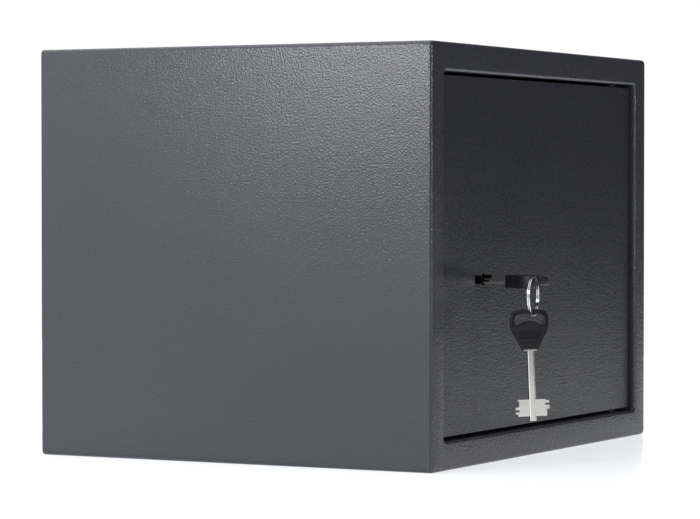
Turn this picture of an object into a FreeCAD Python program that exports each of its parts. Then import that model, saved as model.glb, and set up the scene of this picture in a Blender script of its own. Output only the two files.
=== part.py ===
import FreeCAD, Part
import os
import re
import Sketcher

# A small furniture safe: welded steel cabinet, hinged door with two round locking
# bolts, a double-bit lever lock, one key in the lock and a spare key on a split ring.
# Millimetres. X is to the right seen from the front, the front faces -Y, Z is up.
# The origin is the centre of the cabinet's base, on the floor.

V = FreeCAD.Vector

SIZES = {
    # cabinet
    "body_wide": (300, "outside width"),
    "body_tall": (233, "outside height"),
    "body_deep": (250, "outside depth"),
    "sheet": (2, "body sheet thickness"),
    "wrap_corner": (3, "outside bend radius of the body wrap"),
    "rim_wide": (16, "front border, outside edge to clear opening"),
    "lip_deep": (15, "depth of the drawn lip around the opening"),
    "lip_bend": (2.5, "bend radius between border and lip"),
    "rim_round": (1.3, "rounding of the border's outside edge"),
    "opening_corner": (2.5, "corner radius of the clear opening"),
    "back_inset": (0.5, "back panel behind the wrap's rear edge"),
    "mat_thick": (2.5, "floor mat thickness"),
    "mat_gap": (2, "floor mat to side walls"),
    "mat_hole": (7, "radius of the mat's punched anchor holes"),
    "anchor_hole": (5, "radius of the anchor holes"),
    "anchor_spacing": (180, "anchor hole to anchor hole"),
    # door plate and hinges
    "door_gap": (1.8, "door edge to clear opening, left and right"),
    "door_gap_tall": (1.75, "door edge to clear opening, top and bottom"),
    "door_recess": (3.5, "door face behind the border's face"),
    "door_thick": (4, "door plate thickness"),
    "door_edge": (0.4, "rounding of the door plate's front edges"),
    "hinge_inset": (17, "hinge axis to the door's right edge"),
    "hinge_back": (7, "hinge axis behind the door's face"),
    "pin_radius": (2.5, "hinge pin radius"),
    "pin_fit": (0.05, "running clearance of the hinge pins"),
    "pin_reach": (8, "pin past the opening's edge"),
    "lug_thick": (3, "hinge lug thickness"),
    "lug_drop": (1.4, "lug to the edge of the opening"),
    "lug_wide": (22, "hinge lug width"),
    "lug_deep": (10.5, "hinge lug depth behind the door plate"),
    "washer_radius": (5, "hinge washer radius"),
    "washer_gap": (0.3, "hinge washer to lug"),
    "stop_reach": (4, "door stop past the opening's edge"),
    "stop_tall": (16, "door stop height"),
    "stop_gap": (0.3, "door plate to door stop"),
    # lock
    "keyhole_left": (77.6, "key's axis to the middle of the cabinet"),
    "keyhole_up": (101.8, "key's axis above the floor"),
    "keyhole_rise": (0.8, "middle of the keyhole above the key's axis"),
    "liner_wide": (22.6, "keyhole liner width"),
    "liner_tall": (5.5, "keyhole liner height"),
    "liner_hub": (3.7, "radius of the liner's middle"),
    "liner_wall": (0.4, "keyhole liner wall"),
    "drill_plate_side": (44, "hardened plate, square"),
    "drill_plate_thick": (2, "hardened plate thickness"),
    "case_wide": (55, "lock case width"),
    "case_tall": (58, "lock case height"),
    "case_left": (16.9, "keyhole to the case's left side"),
    "case_below": (26.6, "keyhole to the case's underside"),
    "case_deep": (17.5, "lock case depth without its cover"),
    "case_sheet": (1.5, "lock case sheet"),
    "foot_tall": (10, "height of the case's mounting feet"),
    "stud_radius": (2, "lock stud radius"),
    "stud_inset": (8, "lock stud to the side of the case"),
    "stud_long": (9, "lock stud length"),
    "nut_wide": (7, "nut across flats"),
    "nut_thick": (3.2, "nut thickness"),
    "hole_play": (0.15, "radial play of a stud in its hole"),
    "drive_play": (0.4, "drive plate to its slot in the case"),
    "bolt_play": (0.8, "radial play of a bolt in the inner cover"),
    "barrel_radius": (10, "key curtain barrel radius"),
    "barrel_flange": (12, "key curtain flange radius"),
    "barrel_fit": (0.08, "running clearance of the key curtain"),
    "barrel_long": (1.5, "barrel length in the case wall"),
    "flange_thick": (3.3, "key curtain flange thickness"),
    "slot_wide": (19.6, "key slot width"),
    "slot_tall": (3.7, "key slot height"),
    "slot_hub": (2.6, "radius of the middle of the key slot"),
    "bolt_radius": (7, "locking bolt radius"),
    "bolt_long": (31.5, "locking bolt length"),
    "bolt_tip": (131.5, "bolt end to the middle of the cabinet, unlocked"),
    "bolt_apart": (80, "upper bolt to lower bolt"),
    "bolt_behind": (19.5, "bolt axis behind the door's face"),
    "bolt_fit": (0.1, "running clearance of a bolt in its guide"),
    "bolt_throw": (12, "bolt travel"),
    "rivet_radius": (4, "radius of a bolt's riveted end"),
    "rivet_proud": (1, "riveted end past the bar"),
    "bar_thick": (3, "bolt bar flange thickness"),
    "bar_deep": (14, "bolt bar flange depth"),
    "bar_over": (11, "bolt bar past the bolts' axes"),
    "plate_thick": (2.5, "thickness of the bolt bar's drive plate"),
    "plate_long": (55, "drive plate length"),
    "plate_tall": (29, "drive plate height"),
    "plate_front": (12, "drive plate behind the door's face"),
    "sweep": (9.9, "radius kept free around the turning key"),
    "stump_radius": (2, "gate stump radius"),
    "stump_right": (28.6, "keyhole to gate stump, unlocked"),
    "guide_thick": (2, "bolt guide sheet"),
    "guide_left": (128, "bolt guide to the middle of the cabinet"),
    "guide_wide": (12, "foot of the bolt guide"),
    "guide_deep": (23, "bolt guide depth behind the door plate"),
    "guide_over": (17, "bolt guide past the bolts' axes"),
    "lever_thick": (1.1, "lever thickness"),
    "lever_pitch": (1.35, "lever to lever"),
    "lever_first": (15, "first lever behind the door's face"),
    "lever_window": (11.2, "radius of a lever's key window"),
    "lever_rim": (1.8, "lever past its key window"),
    "lever_right": (34.4, "keyhole to a lever's right end"),
    "lever_drop": (14.4, "keyhole to a lever's lower edge"),
    "lever_top": (23.4, "keyhole to a lever's upper edge"),
    "gate_tall": (2.6, "half height of a lever's gate"),
    "gate_left": (13, "keyhole to the gate's left end"),
    "gate_right": (32, "keyhole to the gate's right end"),
    "post_right": (28.6, "keyhole to lever post"),
    "post_up": (18.4, "lever post above the keyhole"),
    "post_radius": (2.5, "lever post radius"),
    "post_fit": (0.1, "running clearance of a lever on its post"),
    "spring_thick": (0.5, "lever spring wire"),
    "spring_long": (24, "lever spring length"),
    "boss_radius": (3, "radius of the case's screw bosses"),
    "boss_inset": (5.2, "screw boss to the side of the case"),
    "screw_radius": (1.5, "small screw shank radius"),
    "screw_head": (2.8, "small screw head radius"),
    "screw_head_thick": (1.6, "small screw head height"),
    "screw_long": (7, "small screw length under its head"),
    "driver_wide": (0.8, "width of a screw's driver slot"),
    "driver_deep": (0.7, "depth of a screw's driver slot"),
    "tip_hole": (2.4, "key tip hole in the lock cover"),
    # inner cover of the door
    "cover_sheet": (1.2, "inner cover sheet"),
    "cover_left": (115.5, "inner cover's left side to the middle of the cabinet"),
    "cover_right": (100, "inner cover's right side to the middle of the cabinet"),
    "cover_bottom": (34, "inner cover above the floor"),
    "cover_tall": (165, "inner cover height"),
    "cover_back": (30, "inner cover's rear face behind the door's face"),
    "cover_corner": (4, "inner cover corner radius"),
    "pillar_radius": (4, "cover pillar radius"),
    "pillar_inset": (10, "cover pillar to the side of the cover"),
    # keys and ring
    "key_long": (61.5, "key length"),
    "bow_long": (21.3, "bow length"),
    "bow_wide": (22.2, "bow width"),
    "bow_collar": (9.8, "bow width at the collar"),
    "bow_thick": (7, "bow thickness at the collar"),
    "bow_rim": (2.6, "bow thickness at its outer end"),
    "bow_flat": (11.6, "length of the bow's thick half"),
    "bow_slope": (5.2, "length of the slope from the thick half to the rim"),
    "bow_round": (4, "rounding of the bow's corners"),
    "hole_wide": (16.6, "width of the bow's slot"),
    "hole_margin": (2.4, "bow's rim outside the slot"),
    "hole_tall": (4, "slot length at the middle of the bow"),
    "hole_ends": (6.2, "slot length near its ends"),
    "pad_wide": (12.5, "grip recess width"),
    "pad_tall": (4.7, "grip recess length"),
    "pad_back": (9.5, "grip recess's outer edge to the collar"),
    "pad_deep": (0.5, "grip recess depth"),
    "tail_long": (6, "blade's tail inside the bow"),
    "shank_wide": (4, "shank width"),
    "shank_thick": (3, "shank thickness"),
    "shoulder_wide": (7, "shoulder width"),
    "shoulder_long": (1.6, "shoulder length"),
    "bit_wide": (18.6, "double bit width"),
    "bit_tall": (9.3, "double bit length"),
    "bit_thick": (2.6, "double bit thickness"),
    "tip_long": (2.6, "tip past the bit"),
    "key_reach": (24.2, "key tip behind the door's face"),
    "ring_radius": (11, "split ring outside radius"),
    "ring_radial": (1.1, "split ring wire, across the ring"),
    "ring_axial": (2, "split ring wire, both turns together"),
    "ring_turn": (10, "ring's plane from the door's plane, degrees"),
    "ring_left": (8.5, "ring's middle left of the key's axis"),
    "ring_front": (34.3, "ring's middle in front of the door's face"),
    "ring_drop": (7.9, "ring's middle below the key's axis"),
    "spare_turn": (28, "spare key's face from the left side's plane, degrees"),
    "spare_gap": (0.5, "ring wire to the spare key's rim"),
    "spare_lean": (2.2, "lean of the hanging spare key, degrees"),
}


def ref(text):
    """Turn the names in an expression into references to the sheet's cells."""
    def cell(match):
        word = match.group()
        return "Sizes." + word if word in SIZES else word
    return re.sub(r"[a-z_]+", cell, str(text))


doc = FreeCAD.newDocument("safe")
sheet = doc.addObject("Spreadsheet::Sheet", "Sizes")
for row, (alias, (size, note)) in enumerate(SIZES.items(), start=1):
    sheet.set("A%d" % row, alias)
    sheet.set("B%d" % row, str(size))
    sheet.set("C%d" % row, note)
    sheet.setAlias("B%d" % row, alias)
doc.recompute()


# ---- places worked out from the sizes -------------------------------------------

FRONT = "(-body_deep / 2)"
REAR = "(body_deep / 2)"
SIDE = "(body_wide / 2)"
BORDER_REAR = f"({FRONT} + sheet)"
LIP_REAR = f"({FRONT} + lip_deep)"
FACE = f"({FRONT} + door_recess)"
PLATE_REAR = f"({FACE} + door_thick)"
OPEN_SIDE = f"({SIDE} - rim_wide)"
OPEN_BOTTOM = "rim_wide"
OPEN_TOP = "(body_tall - rim_wide)"
DOOR_SIDE = f"({OPEN_SIDE} - door_gap)"
DOOR_BOTTOM = f"({OPEN_BOTTOM} + door_gap_tall)"
DOOR_TOP = f"({OPEN_TOP} - door_gap_tall)"
HINGE_X = f"({DOOR_SIDE} - hinge_inset)"
HINGE_Y = f"({FACE} + hinge_back)"
KEY_X = "(-keyhole_left)"
KEY_Z = "keyhole_up"
HOLE_Z = f"({KEY_Z} + keyhole_rise)"
DRILL_REAR = f"({PLATE_REAR} + drill_plate_thick)"
CASE_LEFT = f"({KEY_X} - case_left)"
CASE_RIGHT = f"({CASE_LEFT} + case_wide)"
CASE_BOTTOM = f"({KEY_Z} - case_below)"
CASE_TOP = f"({CASE_BOTTOM} + case_tall)"
CASE_REAR = f"({DRILL_REAR} + case_deep)"
BOLT_Y = f"({FACE} + bolt_behind)"
BOLT_ROWS = (f"({KEY_Z} - bolt_apart / 2)", f"({KEY_Z} + bolt_apart / 2)")
BAR_LEFT = "(bolt_long - bolt_tip)"
DRIVE_FRONT = f"({FACE} + plate_front)"
DRIVE_REAR = f"({DRIVE_FRONT} + plate_thick)"
COVER_REAR = f"({FACE} + cover_back)"
RING_X = f"({KEY_X} - ring_left)"
RING_Y = f"({FACE} - ring_front)"
RING_Z = f"({KEY_Z} - ring_drop)"

NODES = []


def node(name, shape):
    """Name a finished sub-part; the name is also its file's name."""
    shape.Label = name
    NODES.append(shape)
    return shape


# ---- solids from primitives ------------------------------------------------------

def bind(shape, **expressions):
    for path, text in expressions.items():
        shape.setExpression(path.replace("__", "."), ref(text))


def box(name, x, y, z):
    """A block between pairs of expressions along each axis."""
    solid = doc.addObject("Part::Box", name)
    for side, (low, high) in (("Length", x), ("Width", y), ("Height", z)):
        solid.setExpression(side, ref(f"({high}) - ({low})"))
    bind(solid, Placement__Base__x=x[0], Placement__Base__y=y[0], Placement__Base__z=z[0])
    return solid


TURNS = {
    "x": FreeCAD.Rotation(V(0, 1, 0), 90),
    "y": FreeCAD.Rotation(V(1, 0, 0), -90),
    "z": FreeCAD.Rotation(),
}


def rod(name, axis, radius, start, length):
    """A cylinder from the start point along +X, +Y or +Z."""
    solid = doc.addObject("Part::Cylinder", name)
    solid.Placement = FreeCAD.Placement(V(0, 0, 0), TURNS[axis])
    bind(solid, Radius=radius, Height=length)
    bind(solid, Placement__Base__x=start[0], Placement__Base__y=start[1], Placement__Base__z=start[2])
    return solid


def hexagon(name, across, start, length):
    """A hexagonal prism from the start point along +Y."""
    solid = doc.addObject("Part::Prism", name)
    solid.Polygon = 6
    solid.Placement = FreeCAD.Placement(V(0, 0, 0), TURNS["y"])
    bind(solid, Circumradius=f"{across} / 2 / cos(30deg)", Height=length)
    bind(solid, Placement__Base__x=start[0], Placement__Base__y=start[1], Placement__Base__z=start[2])
    return solid


def fuse(name, *shapes):
    solid = doc.addObject("Part::MultiFuse", name)
    solid.Shapes = list(shapes)
    solid.Refine = True
    return solid


def group(name, *shapes):
    """Identical pieces that stay separate solids in one sub-part."""
    solid = doc.addObject("Part::Compound", name)
    solid.Links = list(shapes)
    return solid


def cut(name, base, *tools):
    solid = doc.addObject("Part::Cut", name)
    solid.Base = base
    solid.Tool = tools[0] if len(tools) == 1 else group(name + "_tools", *tools)
    return solid


# ---- solids from sketches --------------------------------------------------------

def new_body(name):
    return doc.addObject("PartDesign::Body", name)


def sketch(body, name, role, height):
    """A sketch parallel to one of the body's planes, at a height along X, Y or Z."""
    drawing = body.newObject("Sketcher::SketchObject", name)
    plane = next(item for item in body.Origin.OriginFeatures if item.Role == role)
    drawing.AttachmentSupport = (plane, [""])
    drawing.MapMode = "FlatFace"
    along = f"-({height})" if role == "XZ_Plane" else f"{height}"
    drawing.setExpression("AttachmentOffset.Base.z", ref(along))
    return drawing


def polygon(drawing, points):
    """A closed outline whose corners sit at pairs of expressions."""
    first = drawing.GeometryCount
    count = len(points)
    rough = [V(rough_value(across), rough_value(up), 0) for across, up in points]
    for side in range(count):
        drawing.addGeometry(Part.LineSegment(rough[side], rough[(side + 1) % count]), False)
    for side in range(count):
        following = first + (side + 1) % count
        drawing.addConstraint(Sketcher.Constraint("Coincident", first + side, 2, following, 1))
    for side, corner in enumerate(points):
        for kind, text, start in zip(("DistanceX", "DistanceY"), corner, rough[side]):
            rule = Sketcher.Constraint(kind, -1, 1, first + side, 1, start)
            number = drawing.addConstraint(rule)
            drawing.setExpression("Constraints[%d]" % number, ref(text))


def rough_value(text):
    """The number an expression gives now, as a sketch's starting value."""
    result = sheet.evalExpression(ref(text))
    return float(getattr(result, "Value", result))


def rectangle(drawing, left, right, low, high):
    polygon(drawing, [(left, low), (right, low), (right, high), (left, high)])


def circle(drawing, across, up, radius):
    start = V(rough_value(across), rough_value(up), 0)
    number = drawing.addGeometry(Part.Circle(start, V(0, 0, 1), rough_value(radius)), False)
    rules = (
        (Sketcher.Constraint("Radius", number, rough_value(radius)), radius),
        (Sketcher.Constraint("DistanceX", -1, 1, number, 3, start.x), across),
        (Sketcher.Constraint("DistanceY", -1, 1, number, 3, start.y), up),
    )
    for rule, text in rules:
        index = drawing.addConstraint(rule)
        drawing.setExpression("Constraints[%d]" % index, ref(text))


def pad(body, drawing, length, reverse=False, middle=False):
    feature = body.newObject("PartDesign::Pad", drawing.Name + "_pad")
    feature.Profile = drawing
    feature.setExpression("Length", ref(length))
    feature.Reversed = reverse
    feature.Midplane = middle
    return feature


def pocket(body, drawing, length=None, reverse=False, middle=False):
    """Cut a sketch out of the body: to a length, or through everything."""
    feature = body.newObject("PartDesign::Pocket", drawing.Name + "_pocket")
    feature.Profile = drawing
    if length is None:
        feature.Type = "ThroughAll"
    else:
        feature.setExpression("Length", ref(length))
    feature.Reversed = reverse
    feature.Midplane = middle
    return feature


def round_edges(body, name, radius, wanted):
    """Fillet the edges of the body's last feature for which wanted(edge) holds."""
    doc.recompute()
    last = body.Tip
    names = ["Edge%d" % (i + 1) for i, edge in enumerate(last.Shape.Edges) if wanted(edge)]
    feature = body.newObject("PartDesign::Fillet", name)
    feature.Base = (last, names)
    feature.setExpression("Radius", ref(radius))
    return feature


def middle_of(edge):
    return edge.valueAt((edge.FirstParameter + edge.LastParameter) / 2)


def runs_along(edge, axis):
    """True for a straight edge parallel to axis 0, 1 or 2."""
    if not isinstance(edge.Curve, Part.Line):
        return False
    return abs(abs(edge.Curve.Direction[axis]) - 1) < 1e-6


NEAR = 0.01


# ---- cabinet ---------------------------------------------------------------------

def body_wrap():
    """Top, sides and bottom folded from one sheet, with two anchor holes in the bottom."""
    body = new_body("BodyWrap")
    ring = sketch(body, "WrapSection", "XZ_Plane", BORDER_REAR)
    rectangle(ring, f"-{SIDE}", SIDE, "0", "body_tall")
    rectangle(ring, f"-{SIDE} + sheet", f"{SIDE} - sheet", "sheet", "body_tall - sheet")
    pad(body, ring, f"{REAR} - {BORDER_REAR}", reverse=True)
    outside = rough_value(SIDE)

    def outer(edge):
        return runs_along(edge, 1) and abs(abs(middle_of(edge).x) - outside) < NEAR

    def inner(edge):
        return runs_along(edge, 1) and abs(middle_of(edge).x) < outside - NEAR and abs(
            middle_of(edge).x) > outside - rough_value("sheet") - NEAR

    round_edges(body, "WrapOuterBends", "wrap_corner", outer)
    round_edges(body, "WrapInnerBends", "wrap_corner - sheet", inner)
    holes = sketch(body, "WrapAnchors", "XY_Plane", "0")
    for side in ("-1", "1"):
        circle(holes, f"{side} * anchor_spacing / 2", "0", "anchor_hole")
    pocket(body, holes, "sheet * 2", reverse=True)
    return node("body_wrap", body)


def back_panel():
    """Flat panel welded inside the rear edge of the wrap, with two anchor holes."""
    body = new_body("BackPanel")
    face = sketch(body, "BackFace", "XZ_Plane", f"{REAR} - back_inset")
    rectangle(face, f"-{SIDE} + sheet", f"{SIDE} - sheet", "sheet", "body_tall - sheet")
    for side in ("-1", "1"):
        circle(face, f"{side} * anchor_spacing / 2", "body_tall / 2", "anchor_hole")
    pad(body, face, "sheet")
    round_edges(body, "BackCorners", "wrap_corner - sheet", lambda edge: runs_along(edge, 1))
    return node("back_panel", body)


def front_frame():
    """Flat border around the door with a drawn lip that turns back into the cabinet."""
    body = new_body("FrontFrame")
    border = sketch(body, "Border", "XZ_Plane", FRONT)
    rectangle(border, f"-{SIDE}", SIDE, "0", "body_tall")
    rectangle(border, f"-{OPEN_SIDE}", OPEN_SIDE, OPEN_BOTTOM, OPEN_TOP)
    pad(body, border, "sheet", reverse=True)
    lip = sketch(body, "Lip", "XZ_Plane", BORDER_REAR)
    rectangle(lip, f"-{OPEN_SIDE} - sheet", f"{OPEN_SIDE} + sheet",
              f"{OPEN_BOTTOM} - sheet", f"{OPEN_TOP} + sheet")
    rectangle(lip, f"-{OPEN_SIDE}", OPEN_SIDE, OPEN_BOTTOM, OPEN_TOP)
    pad(body, lip, f"{LIP_REAR} - {BORDER_REAR}", reverse=True)
    side = rough_value(SIDE)
    opening = rough_value(OPEN_SIDE)
    front = rough_value(FRONT)

    def along_depth(distance):
        return lambda edge: runs_along(edge, 1) and abs(abs(middle_of(edge).x) - distance) < NEAR

    def on_front(edge):
        return all(abs(vertex.Y - front) < NEAR for vertex in edge.Vertexes)

    def inside_opening(edge):
        return all(abs(vertex.X) < opening + NEAR for vertex in edge.Vertexes)

    round_edges(body, "FrameCorners", "wrap_corner", along_depth(side))
    round_edges(body, "OpeningCorners", "opening_corner", along_depth(opening))
    round_edges(body, "LipCorners", "opening_corner + sheet",
                along_depth(opening + rough_value("sheet")))
    round_edges(body, "LipBend", "lip_bend", lambda edge: on_front(edge) and inside_opening(edge))
    round_edges(body, "FrameEdge", "rim_round",
                lambda edge: on_front(edge) and not inside_opening(edge)
                and max(abs(vertex.X) for vertex in edge.Vertexes) > side - 4)
    pins = sketch(body, "PinHoles", "XY_Plane", "body_tall / 2")
    circle(pins, HINGE_X, HINGE_Y, "pin_radius")
    pocket(body, pins, middle=True)
    return node("front_frame", body)


def floor_mat():
    mat = box("Mat", (f"-{SIDE} + sheet + mat_gap", f"{SIDE} - sheet - mat_gap"),
              (f"{LIP_REAR} + mat_gap", f"{REAR} - back_inset - sheet - mat_gap"),
              ("sheet", "sheet + mat_thick"))
    holes = [rod("MatHole", "z", "mat_hole", (f"{side} * anchor_spacing / 2", "0", "0"), "sheet * 4")
             for side in ("-1", "1")]
    return node("floor_mat", cut("FloorMat", mat, *holes))


def hinge_pins():
    """Two pins welded into the lip above and below the door."""
    low = rod("LowerPin", "z", "pin_radius", (HINGE_X, HINGE_Y, f"{OPEN_BOTTOM} - sheet * 2"),
              "pin_reach + sheet * 2")
    high = rod("UpperPin", "z", "pin_radius", (HINGE_X, HINGE_Y, f"{OPEN_TOP} - pin_reach"),
               "pin_reach + sheet * 2")
    return node("hinge_pins", group("HingePins", low, high))


def hinge_washers():
    """Washers on the pins, between the lip and the door's lugs."""
    washers = []
    for start in (OPEN_BOTTOM, f"({OPEN_TOP} - lug_drop + washer_gap)"):
        disc = rod("Washer", "z", "washer_radius", (HINGE_X, HINGE_Y, start), "lug_drop - washer_gap")
        bore = rod("WasherBore", "z", "pin_radius + pin_fit", (HINGE_X, HINGE_Y, start), "lug_drop")
        washers.append(cut("HingeWasher", disc, bore))
    return node("hinge_washers", group("HingeWashers", *washers))


def door_stops():
    """Two tabs behind the left lip that the closed door rests against."""
    reach = (f"-{OPEN_SIDE}", f"-{OPEN_SIDE} + stop_reach")
    depth = (f"{PLATE_REAR} + stop_gap", f"{PLATE_REAR} + stop_gap + sheet")
    stops = [box("DoorStop", reach, depth, (low, f"{low} + stop_tall"))
             for low in ("body_tall * 0.14", "body_tall * 0.8")]
    return node("door_stops", group("DoorStops", *stops))


# ---- door ------------------------------------------------------------------------

def keyhole_shape(name, up, wide, tall, hub, start, length):
    """Solid in the shape of a double-bit keyhole: a slot with a round middle."""
    slot = box(name + "Slot", (f"{KEY_X} - ({wide}) / 2", f"{KEY_X} + ({wide}) / 2"),
               (start, f"{start} + {length}"), (f"{up} - ({tall}) / 2", f"{up} + ({tall}) / 2"))
    middle = rod(name + "Hub", "y", hub, (KEY_X, start, up), length)
    return fuse(name, slot, middle)


def door_plate():
    body = new_body("DoorPlate")
    face = sketch(body, "DoorFace", "XZ_Plane", FACE)
    rectangle(face, f"-{DOOR_SIDE}", DOOR_SIDE, DOOR_BOTTOM, DOOR_TOP)
    pad(body, face, "door_thick", reverse=True)
    front = rough_value(FACE)
    round_edges(body, "DoorEdges", "door_edge",
                lambda edge: all(abs(vertex.Y - front) < NEAR for vertex in edge.Vertexes))
    hub = sketch(body, "KeyholeHub", "XZ_Plane", FACE)
    circle(hub, KEY_X, HOLE_Z, "liner_hub")
    pocket(body, hub, middle=True)
    slot = sketch(body, "KeyholeSlot", "XZ_Plane", FACE)
    rectangle(slot, f"{KEY_X} - liner_wide / 2", f"{KEY_X} + liner_wide / 2",
              f"{HOLE_Z} - liner_tall / 2", f"{HOLE_Z} + liner_tall / 2")
    pocket(body, slot, middle=True)
    return node("door_plate", body)


def keyhole_liner():
    outside = keyhole_shape("LinerBody", HOLE_Z, "liner_wide", "liner_tall", "liner_hub", FACE,
                            "door_thick")
    inside = keyhole_shape("LinerHole", HOLE_Z, "liner_wide - liner_wall * 2",
                           "liner_tall - liner_wall * 2", "liner_hub - liner_wall", f"({FACE} - 1)",
                           "(door_thick + 2)")
    return node("keyhole_liner", cut("KeyholeLiner", outside, inside))


def hinge_lugs():
    """Two angle lugs welded to the back of the door, each with a running hole for its pin."""
    left = f"({HINGE_X} - lug_wide / 2)"
    right = f"({HINGE_X} + lug_wide / 2)"
    under = f"({OPEN_BOTTOM} + lug_drop)"
    over = f"({OPEN_TOP} - lug_drop)"
    places = (
        ((under, f"{under} + lug_thick"), (under, f"{under} + lug_wide")),
        ((f"{over} - lug_thick", over), (f"{over} - lug_wide", over)),
    )
    lugs = []
    for shelf_height, foot_height in places:
        shelf = box("LugShelf", (left, right), (PLATE_REAR, f"{PLATE_REAR} + lug_deep"), shelf_height)
        foot = box("LugFoot", (left, f"{HINGE_X} - pin_radius * 2"),
                   (PLATE_REAR, f"{PLATE_REAR} + lug_thick"), foot_height)
        bore = rod("LugBore", "z", "pin_radius + pin_fit",
                   (HINGE_X, HINGE_Y, f"{shelf_height[0]} - 1"), "lug_thick + 2")
        lugs.append(cut("HingeLug", fuse("LugAngle", shelf, foot), bore))
    return node("hinge_lugs", group("HingeLugs", *lugs))


def bolt_guide():
    """Angle welded behind the door's left edge; the locking bolts slide through it."""
    left = "(-guide_left)"
    low = f"({BOLT_ROWS[0]} - guide_over)"
    high = f"({BOLT_ROWS[1]} + guide_over)"
    foot = box("GuideFoot", (left, f"{left} + guide_wide"), (PLATE_REAR, f"{PLATE_REAR} + guide_thick"),
               (low, high))
    upright = box("GuideUpright", (left, f"{left} + guide_thick"),
                  (PLATE_REAR, f"{PLATE_REAR} + guide_deep"), (low, high))
    holes = [rod("GuideHole", "x", "bolt_radius + bolt_fit", (f"{left} - 1", BOLT_Y, row), "guide_thick + 2")
             for row in BOLT_ROWS]
    return node("bolt_guide", cut("BoltGuide", fuse("GuideAngle", foot, upright), *holes))


def drill_plate():
    """Hardened plate between the door and the lock, around the keyhole."""
    half = "drill_plate_side / 2"
    plate = box("HardPlate", (f"{KEY_X} - {half}", f"{KEY_X} + {half}"), (PLATE_REAR, DRILL_REAR),
                (f"{KEY_Z} - {half}", f"{KEY_Z} + {half}"))
    hole = keyhole_shape("HardPlateHole", KEY_Z, "slot_wide + 1", "slot_tall + 1",
                         "liner_hub - liner_wall", f"({PLATE_REAR} - 1)", "(drill_plate_thick + 2)")
    return node("drill_plate", cut("DrillPlate", plate, hole))


STUD_COLUMNS = (f"({CASE_LEFT} + stud_inset)", f"({CASE_RIGHT} - stud_inset)")
STUD_ROWS = (f"({CASE_BOTTOM} - foot_tall / 2)", f"({CASE_TOP} + foot_tall / 2)")
STUDS = [(column, row) for column in STUD_COLUMNS for row in STUD_ROWS]
BOSSES = [(f"({CASE_LEFT} + boss_inset)", f"({CASE_BOTTOM} + boss_inset)"),
          (f"({CASE_RIGHT} - boss_inset)", f"({CASE_BOTTOM} + boss_inset)")]
POST_X = f"({KEY_X} + post_right)"
POST_Z = f"({KEY_Z} + post_up)"


def lock_case():
    """Open-backed steel case with two mounting feet and two screw bosses."""
    shell = box("CaseShell", (CASE_LEFT, CASE_RIGHT), (DRILL_REAR, CASE_REAR), (CASE_BOTTOM, CASE_TOP))
    feet = box("CaseFeet", (CASE_LEFT, CASE_RIGHT), (DRILL_REAR, f"{DRILL_REAR} + case_sheet"),
               (f"{CASE_BOTTOM} - foot_tall", f"{CASE_TOP} + foot_tall"))
    room = box("CaseRoom", (f"{CASE_LEFT} + case_sheet", f"{CASE_RIGHT} - case_sheet"),
               (f"{DRILL_REAR} + case_sheet", f"{CASE_REAR} + 1"),
               (f"{CASE_BOTTOM} + case_sheet", f"{CASE_TOP} - case_sheet"))
    bosses = [rod("CaseBoss", "y", "boss_radius", (x, f"({DRILL_REAR} + case_sheet)", z),
                  "case_deep - case_sheet") for x, z in BOSSES]
    hollow = cut("CaseHollow", fuse("CaseBlock", shell, feet), room)
    holes = [rod("StudHole", "y", "stud_radius + hole_play", (x, f"({DRILL_REAR} - 1)", z), "case_sheet + 2")
             for x, z in STUDS]
    holes += [rod("BossHole", "y", "screw_radius", (x, f"({CASE_REAR} - screw_long)", z), "screw_long + 1")
              for x, z in BOSSES]
    holes.append(rod("BarrelHole", "y", "barrel_radius + barrel_fit", (KEY_X, f"({DRILL_REAR} - 1)", KEY_Z),
                     "case_sheet + 2"))
    holes.append(box("DriveSlot", (f"{CASE_LEFT} - 1", f"{CASE_LEFT} + case_sheet + 1"),
                     (f"{DRIVE_FRONT} - drive_play", f"{DRIVE_REAR} + drive_play"),
                     (f"{KEY_Z} - plate_tall / 2 - drive_play", f"{KEY_Z} + plate_tall / 2 + drive_play")))
    return node("lock_case", cut("LockCase", fuse("CaseWithBosses", hollow, *bosses), *holes))


def lock_cover():
    plate = box("CoverPlate", (CASE_LEFT, CASE_RIGHT), (CASE_REAR, f"{CASE_REAR} + case_sheet"),
                (CASE_BOTTOM, CASE_TOP))
    start = f"({CASE_REAR} - 1)"
    holes = [rod("CoverScrewHole", "y", "screw_radius + hole_play", (x, start, z), "case_sheet + 2")
             for x, z in BOSSES]
    holes.append(rod("KeyTipHole", "y", "tip_hole", (KEY_X, start, KEY_Z), "case_sheet + 2"))
    holes.append(rod("PostHole", "y", "screw_radius", (POST_X, start, POST_Z), "case_sheet + 2"))
    return node("lock_cover", cut("LockCover", plate, *holes))


def screw(name, start_y, x, z, shank):
    """A screw whose head sits behind start_y, with a driver slot across the head."""
    head = rod(name + "Head", "y", "screw_head", (x, start_y, z), "screw_head_thick")
    body = rod(name + "Shank", "y", "screw_radius", (x, f"({start_y} - {shank})", z), shank)
    slot = box(name + "Slot", (f"{x} - driver_wide / 2", f"{x} + driver_wide / 2"),
               (f"{start_y} + screw_head_thick - driver_deep", f"{start_y} + screw_head_thick + 1"),
               (f"{z} - screw_head - 1", f"{z} + screw_head + 1"))
    return cut(name, fuse(name + "Solid", head, body), slot)


def lock_cover_screws():
    start = f"({CASE_REAR} + case_sheet)"
    screws = [screw("LockScrew", start, x, z, "(screw_long - 1)") for x, z in BOSSES]
    return node("lock_cover_screws", group("LockCoverScrews", *screws))


def lock_studs():
    studs = [rod("LockStud", "y", "stud_radius", (x, PLATE_REAR, z), "stud_long") for x, z in STUDS]
    return node("lock_studs", group("LockStuds", *studs))


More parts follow.
